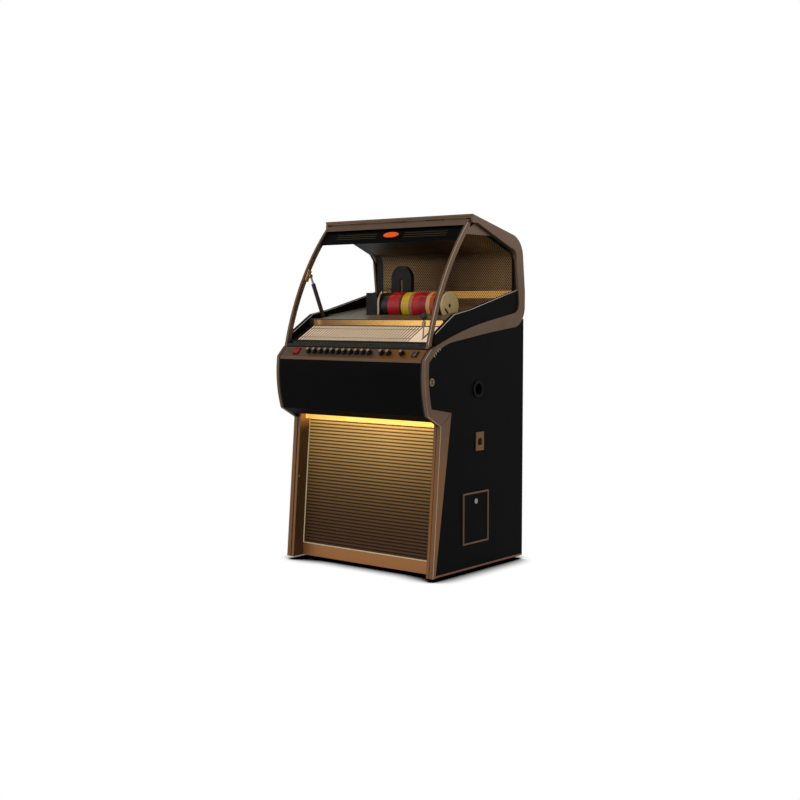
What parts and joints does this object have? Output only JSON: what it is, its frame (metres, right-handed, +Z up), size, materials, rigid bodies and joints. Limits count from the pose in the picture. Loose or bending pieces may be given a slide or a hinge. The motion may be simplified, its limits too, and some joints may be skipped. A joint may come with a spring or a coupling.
{
  "type": "cd jukebox",
  "caption": "Floor-standing disc jukebox: leaning grille, console with push knobs, hinged glazed lid over a title rack, disc drum and transfer arch, side windows and cash door",
  "frame": {"origin": "floor level, under the middle of the outer box", "axes": "+Z up, -Y front, +X right-hand side seen from the front"},
  "size_m": [0.8, 0.711, 1.474],
  "materials": {
    "black_vinyl": "fine grained black vinyl covering",
    "bronze_metal": "satin bronze lacquer",
    "clear_glass": "clear flat glazing",
    "gold_mesh": "perforated gold mesh",
    "black_metal": "satin black paint",
    "black_plastic": "fine matt black",
    "cream_card": "printed-card cream",
    "painted_board": "dark stained board",
    "ribbed_cloth": "corded speaker cloth",
    "warm_light": "glowing warm diffuser",
    "black_rubber": "matt rubber",
    "coloured_carriers": "bright mixed colours",
    "bright_chrome": "polished",
    "steel": "brushed",
    "knob_plastic": "black with a bright cap",
    "red_plastic": "translucent red"
  },
  "bodies": {
    "cabinet": {"left_side_panel": "black_vinyl", "right_side_panel": "black_vinyl", "window_aprons": "black_vinyl", "console_front": "black_vinyl", "side_trims": "bronze_metal", "window_frames": "bronze_metal", "roof_cap": "bronze_metal", "control_panel": "bronze_metal", "front_posts": "bronze_metal", "kick_rail": "bronze_metal", "lid_hinge": "bronze_metal", "coin_return": "bronze_metal", "cash_compartment": "bronze_metal", "side_windows": "clear_glass", "back_wall": "gold_mesh", "deck_plate": "black_metal", "amplifier": "black_metal", "woofers": "black_metal", "display_strip": "black_plastic", "title_rack": "black_plastic", "mech_tower": "black_plastic", "player_housing": "black_plastic", "magazine_rack": "black_plastic", "coin_entry": "black_plastic", "jack_sockets": "black_plastic", "title_strips": "cream_card", "base_board": "painted_board", "mech_shelf": "painted_board", "rear_panel": "painted_board", "speaker_baffle": "painted_board", "speaker_grille": "ribbed_cloth", "grille_light": "warm_light", "levelling_feet": "black_rubber", "compact_discs": "coloured_carriers"},
    "lid": {"lid_frame": "bronze_metal", "lid_glass": "clear_glass", "lid_header": "black_plastic"},
    "strut_cylinder": {"strut_cylinder": "steel"},
    "strut_rod": {"strut_rod": "steel"},
    "power_rocker": {"power_rocker": "red_plastic"},
    "title_lever": {"title_lever": "knob_plastic"},
    "transfer_arch": {"transfer_arch": "bright_chrome"},
    "player_spindle": {"player_spindle": "steel"},
    "cash_door": {"cash_door": "black_metal"},
    "cash_door_lock": {"cash_door_lock": "bright_chrome"},
    "side_lock": {"side_lock": "bright_chrome"},
    "selector_knob_01": {"selector_knob_01": "knob_plastic"},
    "selector_knob_02": {"selector_knob_02": "knob_plastic"},
    "selector_knob_03": {"selector_knob_03": "knob_plastic"},
    "selector_knob_04": {"selector_knob_04": "knob_plastic"},
    "selector_knob_05": {"selector_knob_05": "knob_plastic"},
    "selector_knob_06": {"selector_knob_06": "knob_plastic"},
    "selector_knob_07": {"selector_knob_07": "knob_plastic"},
    "selector_knob_08": {"selector_knob_08": "knob_plastic"},
    "selector_knob_09": {"selector_knob_09": "knob_plastic"},
    "selector_knob_10": {"selector_knob_10": "knob_plastic"},
    "selector_knob_11": {"selector_knob_11": "knob_plastic"},
    "selector_knob_12": {"selector_knob_12": "knob_plastic"},
    "selector_knob_13": {"selector_knob_13": "knob_plastic"},
    "selector_knob_14": {"selector_knob_14": "knob_plastic"}
  },
  "joints": [
    {"name": "lid_hinge_turn", "type": "hinge", "parent": "cabinet", "child": "lid", "pos_m": [0, -0.0286, 1.449], "axis": [-1, 0, 0], "range_deg": [0, 35]},
    {"name": "strut_swing", "type": "hinge", "parent": "cabinet", "child": "strut_cylinder", "pos_m": [-0.362, -0.0686, 0.993], "axis": [1, 0, 0], "range_deg": [0, 5.3]},
    {"name": "strut_stroke", "type": "slide", "parent": "strut_cylinder", "child": "strut_rod", "axis": [0, -0.4132, 0.9106], "range_m": [0, 0.1561]},
    {"name": "rocker_tilt", "type": "hinge", "parent": "cabinet", "child": "power_rocker", "pos_m": [-0.301, -0.32883, 0.90723], "axis": [1, 0, 0], "range_deg": [-7, 7]},
    {"name": "lever_swing", "type": "hinge", "parent": "cabinet", "child": "title_lever", "pos_m": [0.316, -0.2566, 0.951], "axis": [-1, 0, 0], "range_deg": [0, 35]},
    {"name": "arch_travel", "type": "slide", "parent": "cabinet", "child": "transfer_arch", "axis": [1, 0, 0], "range_m": [0, 0.32]},
    {"name": "spindle_spin", "type": "hinge", "parent": "cabinet", "child": "player_spindle", "pos_m": [-0.112, 0.0334, 1.101], "axis": [1, 0, 0], "continuous": true},
    {"name": "cash_door_swing", "type": "hinge", "parent": "cabinet", "child": "cash_door", "pos_m": [0.3925, 0.0769, 0.227], "axis": [0, 0, 1], "range_deg": [0, 95]},
    {"name": "cash_lock_turn", "type": "hinge", "parent": "cash_door", "child": "cash_door_lock", "pos_m": [0.396, -0.0001, 0.295], "axis": [1, 0, 0], "range_deg": [0, 90]},
    {"name": "side_lock_turn", "type": "hinge", "parent": "cabinet", "child": "side_lock", "pos_m": [0.394, -0.2996, 0.8], "axis": [1, 0, 0], "range_deg": [0, 90]},
    {"name": "knob_01_press", "type": "slide", "parent": "cabinet", "child": "selector_knob_01", "axis": [0, 0.7071, -0.7071], "range_m": [0, 0.0035], "stiffness_N_per_m": 350, "springref_m": -0.002},
    {"name": "knob_02_press", "type": "slide", "parent": "cabinet", "child": "selector_knob_02", "axis": [0, 0.7071, -0.7071], "range_m": [0, 0.0035], "stiffness_N_per_m": 350, "springref_m": -0.002},
    {"name": "knob_03_press", "type": "slide", "parent": "cabinet", "child": "selector_knob_03", "axis": [0, 0.7071, -0.7071], "range_m": [0, 0.0035], "stiffness_N_per_m": 350, "springref_m": -0.002},
    {"name": "knob_04_press", "type": "slide", "parent": "cabinet", "child": "selector_knob_04", "axis": [0, 0.7071, -0.7071], "range_m": [0, 0.0035], "stiffness_N_per_m": 350, "springref_m": -0.002},
    {"name": "knob_05_press", "type": "slide", "parent": "cabinet", "child": "selector_knob_05", "axis": [0, 0.7071, -0.7071], "range_m": [0, 0.0035], "stiffness_N_per_m": 350, "springref_m": -0.002},
    {"name": "knob_06_press", "type": "slide", "parent": "cabinet", "child": "selector_knob_06", "axis": [0, 0.7071, -0.7071], "range_m": [0, 0.0035], "stiffness_N_per_m": 350, "springref_m": -0.002},
    {"name": "knob_07_press", "type": "slide", "parent": "cabinet", "child": "selector_knob_07", "axis": [0, 0.7071, -0.7071], "range_m": [0, 0.0035], "stiffness_N_per_m": 350, "springref_m": -0.002},
    {"name": "knob_08_press", "type": "slide", "parent": "cabinet", "child": "selector_knob_08", "axis": [0, 0.7071, -0.7071], "range_m": [0, 0.0035], "stiffness_N_per_m": 350, "springref_m": -0.002},
    {"name": "knob_09_press", "type": "slide", "parent": "cabinet", "child": "selector_knob_09", "axis": [0, 0.7071, -0.7071], "range_m": [0, 0.0035], "stiffness_N_per_m": 350, "springref_m": -0.002},
    {"name": "knob_10_press", "type": "slide", "parent": "cabinet", "child": "selector_knob_10", "axis": [0, 0.7071, -0.7071], "range_m": [0, 0.0035], "stiffness_N_per_m": 350, "springref_m": -0.002},
    {"name": "knob_11_press", "type": "slide", "parent": "cabinet", "child": "selector_knob_11", "axis": [0, 0.7071, -0.7071], "range_m": [0, 0.0035], "stiffness_N_per_m": 350, "springref_m": -0.002},
    {"name": "knob_12_press", "type": "slide", "parent": "cabinet", "child": "selector_knob_12", "axis": [0, 0.7071, -0.7071], "range_m": [0, 0.0035], "stiffness_N_per_m": 350, "springref_m": -0.002},
    {"name": "knob_13_press", "type": "slide", "parent": "cabinet", "child": "selector_knob_13", "axis": [0, 0.7071, -0.7071], "range_m": [0, 0.0035], "stiffness_N_per_m": 350, "springref_m": -0.002},
    {"name": "knob_14_press", "type": "slide", "parent": "cabinet", "child": "selector_knob_14", "axis": [0, 0.7071, -0.7071], "range_m": [0, 0.0035], "stiffness_N_per_m": 350, "springref_m": -0.002}
  ],
  "couplings": [
    {"joint": "strut_swing", "follows": "lid_hinge_turn", "ratio": 0.14989},
    {"joint": "strut_stroke", "follows": "lid_hinge_turn", "m_per_rad": 0.25466}
  ]
}
